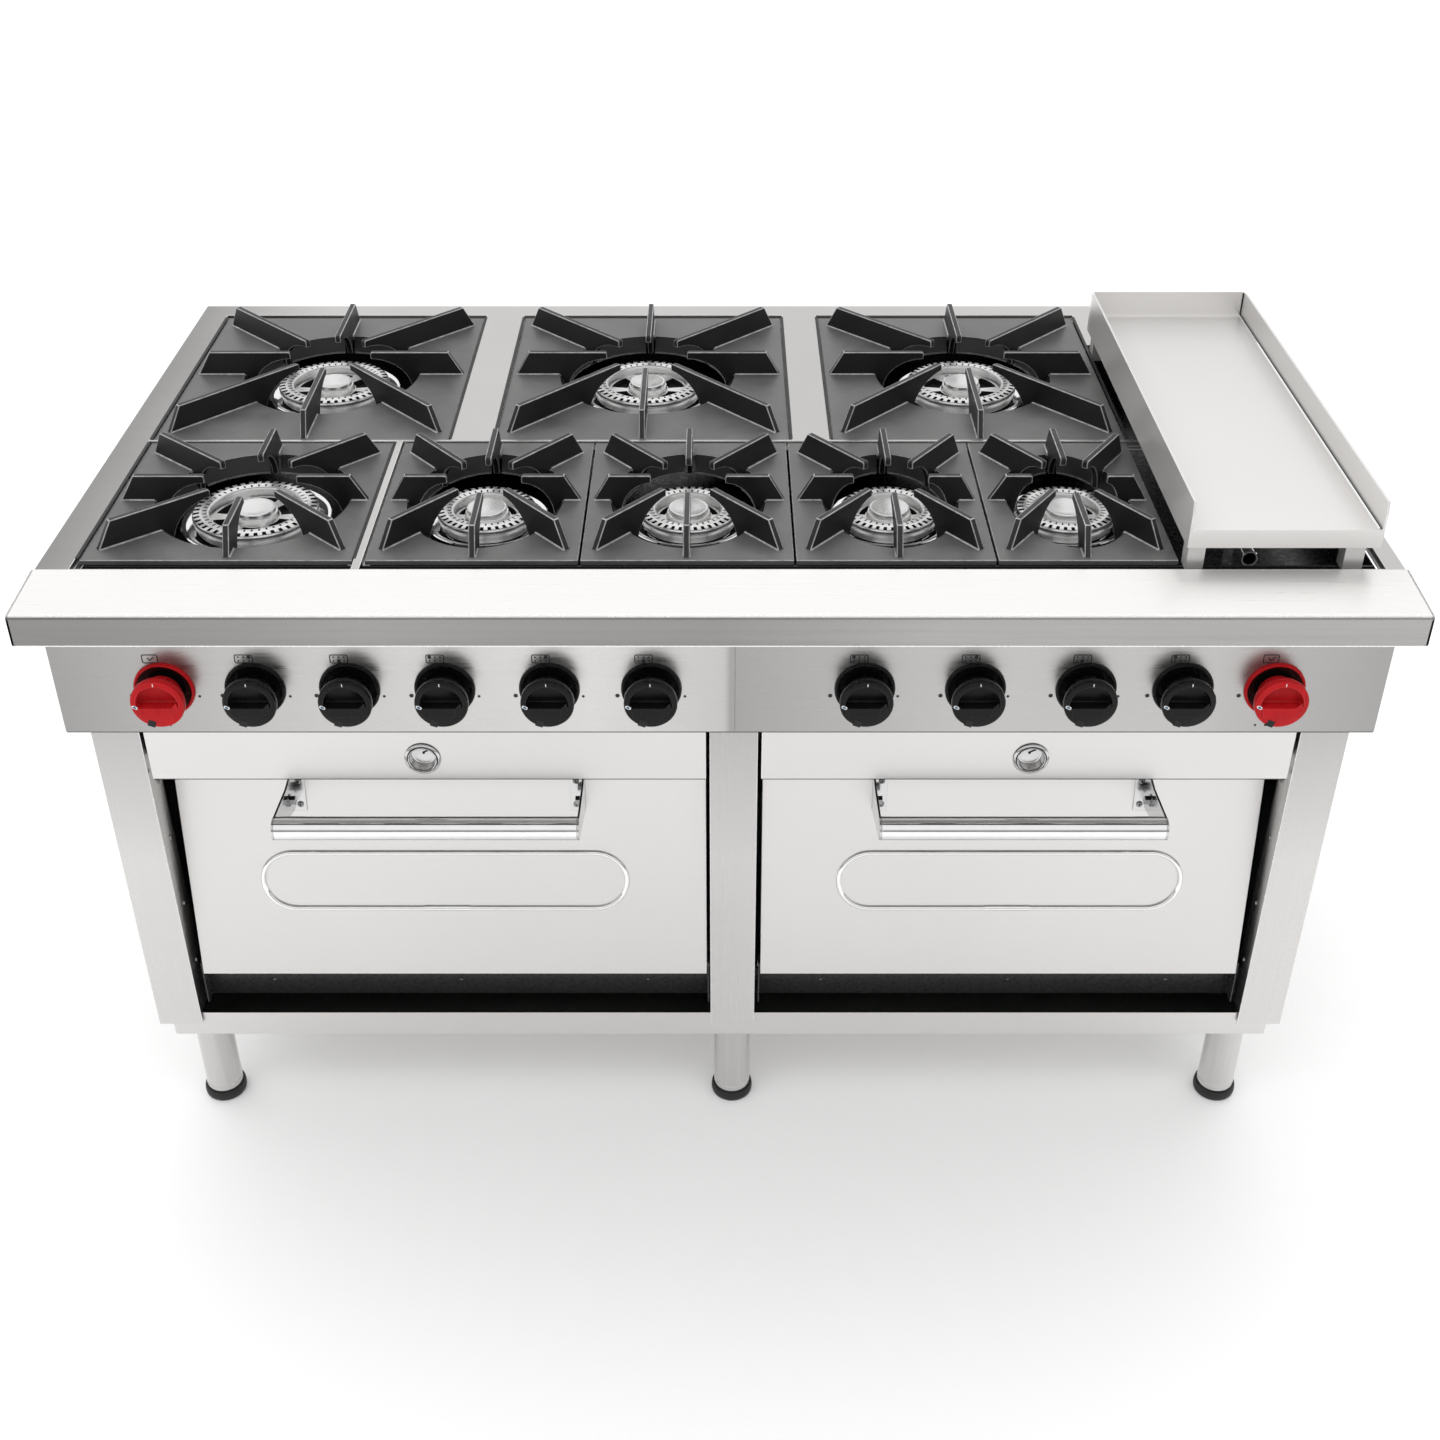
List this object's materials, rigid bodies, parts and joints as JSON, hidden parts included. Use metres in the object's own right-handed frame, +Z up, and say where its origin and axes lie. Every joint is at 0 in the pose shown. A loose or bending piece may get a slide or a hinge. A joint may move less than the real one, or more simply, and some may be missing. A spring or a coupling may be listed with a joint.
{
  "type": "commercial gas range",
  "caption": "Free-standing commercial gas range with open burners, a griddle plate, a row of control knobs and two drop-down oven doors.",
  "frame": {"origin": "on the floor under the middle of the range", "axes": "+X to the right and +Y to the back as seen by the cook, +Z up"},
  "size_m": [1.6, 0.949, 0.964],
  "materials": {
    "stainless_sheet": "brushed stainless sheet",
    "polished_steel": "polished stainless",
    "griddle_steel": "ground cooking plate",
    "enamelled_iron": "dark enamelled casting",
    "black_enamel": "black enamelled sheet",
    "zinc_sheet": "zinc coated sheet",
    "brass": "machined brass",
    "burner_alloy": "cast light alloy",
    "black_plastic": "glossy black moulding",
    "red_plastic": "glossy red moulding",
    "foot_plastic": "black moulding"
  },
  "bodies": {
    "range_body": {"base_frame": "stainless_sheet", "post_left": "stainless_sheet", "post_middle": "stainless_sheet", "post_right": "stainless_sheet", "side_panel_left": "stainless_sheet", "side_panel_right": "stainless_sheet", "back_panel": "zinc_sheet", "kick_panel": "black_enamel", "front_ledge": "stainless_sheet", "worktop_frame": "stainless_sheet", "burner_tray": "black_enamel", "burner_back_left": "burner_alloy", "burner_back_middle": "burner_alloy", "burner_back_right": "burner_alloy", "burner_front_1": "burner_alloy", "burner_front_2": "burner_alloy", "burner_front_3": "burner_alloy", "burner_front_4": "burner_alloy", "burner_front_5": "burner_alloy", "griddle_burner": "burner_alloy", "control_panel": "stainless_sheet", "gas_manifold": "brass", "fascia_left": "stainless_sheet", "fascia_right": "stainless_sheet", "oven_box_left": "zinc_sheet", "oven_box_right": "zinc_sheet"},
    "knob_oven_left": {"knob_oven_left": "red_plastic"},
    "knob_burner_1": {"knob_burner_1": "black_plastic"},
    "knob_burner_2": {"knob_burner_2": "black_plastic"},
    "knob_burner_3": {"knob_burner_3": "black_plastic"},
    "knob_burner_4": {"knob_burner_4": "black_plastic"},
    "knob_burner_5": {"knob_burner_5": "black_plastic"},
    "knob_burner_6": {"knob_burner_6": "black_plastic"},
    "knob_burner_7": {"knob_burner_7": "black_plastic"},
    "knob_burner_8": {"knob_burner_8": "black_plastic"},
    "knob_griddle": {"knob_griddle": "black_plastic"},
    "knob_oven_right": {"knob_oven_right": "red_plastic"},
    "grate_back_left": {"grate_back_left": "enamelled_iron"},
    "grate_back_middle": {"grate_back_middle": "enamelled_iron"},
    "grate_back_right": {"grate_back_right": "enamelled_iron"},
    "grate_front_1": {"grate_front_1": "enamelled_iron"},
    "grate_front_2": {"grate_front_2": "enamelled_iron"},
    "grate_front_3": {"grate_front_3": "enamelled_iron"},
    "grate_front_4": {"grate_front_4": "enamelled_iron"},
    "grate_front_5": {"grate_front_5": "enamelled_iron"},
    "griddle": {"griddle_plate": "griddle_steel"},
    "door_left": {"oven_door_left": "stainless_sheet", "door_handle_left": "polished_steel", "door_trim_left": "polished_steel"},
    "door_right": {"oven_door_right": "stainless_sheet", "door_handle_right": "polished_steel", "door_trim_right": "polished_steel"},
    "spyhole_cup_left": {"spyhole_cup_left": "polished_steel"},
    "spyhole_cup_right": {"spyhole_cup_right": "polished_steel"},
    "foot_front_left": {"foot_front_left": "foot_plastic"},
    "foot_front_middle": {"foot_front_middle": "foot_plastic"},
    "foot_front_right": {"foot_front_right": "foot_plastic"},
    "foot_back_left": {"foot_back_left": "foot_plastic"},
    "foot_back_middle": {"foot_back_middle": "foot_plastic"},
    "foot_back_right": {"foot_back_right": "foot_plastic"}
  },
  "joints": [
    {"name": "knob_oven_left_turn", "type": "hinge", "parent": "range_body", "child": "knob_oven_left", "pos_m": [-0.648, -0.441, 0.76], "axis": [0, -1, 0], "range_deg": [0, 270]},
    {"name": "knob_burner_1_turn", "type": "hinge", "parent": "range_body", "child": "knob_burner_1", "pos_m": [-0.542, -0.441, 0.76], "axis": [0, -1, 0], "range_deg": [0, 180]},
    {"name": "knob_burner_2_turn", "type": "hinge", "parent": "range_body", "child": "knob_burner_2", "pos_m": [-0.432, -0.441, 0.76], "axis": [0, -1, 0], "range_deg": [0, 180]},
    {"name": "knob_burner_3_turn", "type": "hinge", "parent": "range_body", "child": "knob_burner_3", "pos_m": [-0.321, -0.441, 0.76], "axis": [0, -1, 0], "range_deg": [0, 180]},
    {"name": "knob_burner_4_turn", "type": "hinge", "parent": "range_body", "child": "knob_burner_4", "pos_m": [-0.199, -0.441, 0.76], "axis": [0, -1, 0], "range_deg": [0, 180]},
    {"name": "knob_burner_5_turn", "type": "hinge", "parent": "range_body", "child": "knob_burner_5", "pos_m": [-0.08, -0.441, 0.76], "axis": [0, -1, 0], "range_deg": [0, 180]},
    {"name": "knob_burner_6_turn", "type": "hinge", "parent": "range_body", "child": "knob_burner_6", "pos_m": [0.169, -0.441, 0.76], "axis": [0, -1, 0], "range_deg": [0, 180]},
    {"name": "knob_burner_7_turn", "type": "hinge", "parent": "range_body", "child": "knob_burner_7", "pos_m": [0.298, -0.441, 0.76], "axis": [0, -1, 0], "range_deg": [0, 180]},
    {"name": "knob_burner_8_turn", "type": "hinge", "parent": "range_body", "child": "knob_burner_8", "pos_m": [0.427, -0.441, 0.76], "axis": [0, -1, 0], "range_deg": [0, 180]},
    {"name": "knob_griddle_turn", "type": "hinge", "parent": "range_body", "child": "knob_griddle", "pos_m": [0.54, -0.441, 0.76], "axis": [0, -1, 0], "range_deg": [0, 180]},
    {"name": "knob_oven_right_turn", "type": "hinge", "parent": "range_body", "child": "knob_oven_right", "pos_m": [0.647, -0.441, 0.76], "axis": [0, -1, 0], "range_deg": [0, 270]},
    {"name": "grate_back_left_lift", "type": "slide", "parent": "range_body", "child": "grate_back_left", "axis": [0, 0, 1], "range_m": [0, 0.12]},
    {"name": "grate_back_middle_lift", "type": "slide", "parent": "range_body", "child": "grate_back_middle", "axis": [0, 0, 1], "range_m": [0, 0.12]},
    {"name": "grate_back_right_lift", "type": "slide", "parent": "range_body", "child": "grate_back_right", "axis": [0, 0, 1], "range_m": [0, 0.12]},
    {"name": "grate_front_1_lift", "type": "slide", "parent": "range_body", "child": "grate_front_1", "axis": [0, 0, 1], "range_m": [0, 0.12]},
    {"name": "grate_front_2_lift", "type": "slide", "parent": "range_body", "child": "grate_front_2", "axis": [0, 0, 1], "range_m": [0, 0.12]},
    {"name": "grate_front_3_lift", "type": "slide", "parent": "range_body", "child": "grate_front_3", "axis": [0, 0, 1], "range_m": [0, 0.12]},
    {"name": "grate_front_4_lift", "type": "slide", "parent": "range_body", "child": "grate_front_4", "axis": [0, 0, 1], "range_m": [0, 0.12]},
    {"name": "grate_front_5_lift", "type": "slide", "parent": "range_body", "child": "grate_front_5", "axis": [0, 0, 1], "range_m": [0, 0.12]},
    {"name": "griddle_lift", "type": "slide", "parent": "range_body", "child": "griddle", "axis": [0, 0, 1], "range_m": [0, 0.12]},
    {"name": "door_left_hinge", "type": "hinge", "parent": "range_body", "child": "door_left", "pos_m": [-0.362, -0.343, 0.247], "axis": [1, 0, 0], "range_deg": [0, 98]},
    {"name": "door_right_hinge", "type": "hinge", "parent": "range_body", "child": "door_right", "pos_m": [0.38, -0.343, 0.247], "axis": [1, 0, 0], "range_deg": [0, 98]},
    {"name": "spyhole_cup_left_turn", "type": "hinge", "parent": "range_body", "child": "spyhole_cup_left", "pos_m": [-0.37, -0.374, 0.613], "axis": [0, -1, 0], "range_deg": [0, 90]},
    {"name": "spyhole_cup_right_turn", "type": "hinge", "parent": "range_body", "child": "spyhole_cup_right", "pos_m": [0.387, -0.374, 0.613], "axis": [0, -1, 0], "range_deg": [0, 90]},
    {"name": "foot_front_left_screw_out", "type": "slide", "parent": "range_body", "child": "foot_front_left", "axis": [0, 0, -1], "range_m": [0, 0.025]},
    {"name": "foot_front_middle_screw_out", "type": "slide", "parent": "range_body", "child": "foot_front_middle", "axis": [0, 0, -1], "range_m": [0, 0.025]},
    {"name": "foot_front_right_screw_out", "type": "slide", "parent": "range_body", "child": "foot_front_right", "axis": [0, 0, -1], "range_m": [0, 0.025]},
    {"name": "foot_back_left_screw_out", "type": "slide", "parent": "range_body", "child": "foot_back_left", "axis": [0, 0, -1], "range_m": [0, 0.025]},
    {"name": "foot_back_middle_screw_out", "type": "slide", "parent": "range_body", "child": "foot_back_middle", "axis": [0, 0, -1], "range_m": [0, 0.025]},
    {"name": "foot_back_right_screw_out", "type": "slide", "parent": "range_body", "child": "foot_back_right", "axis": [0, 0, -1], "range_m": [0, 0.025]}
  ]
}
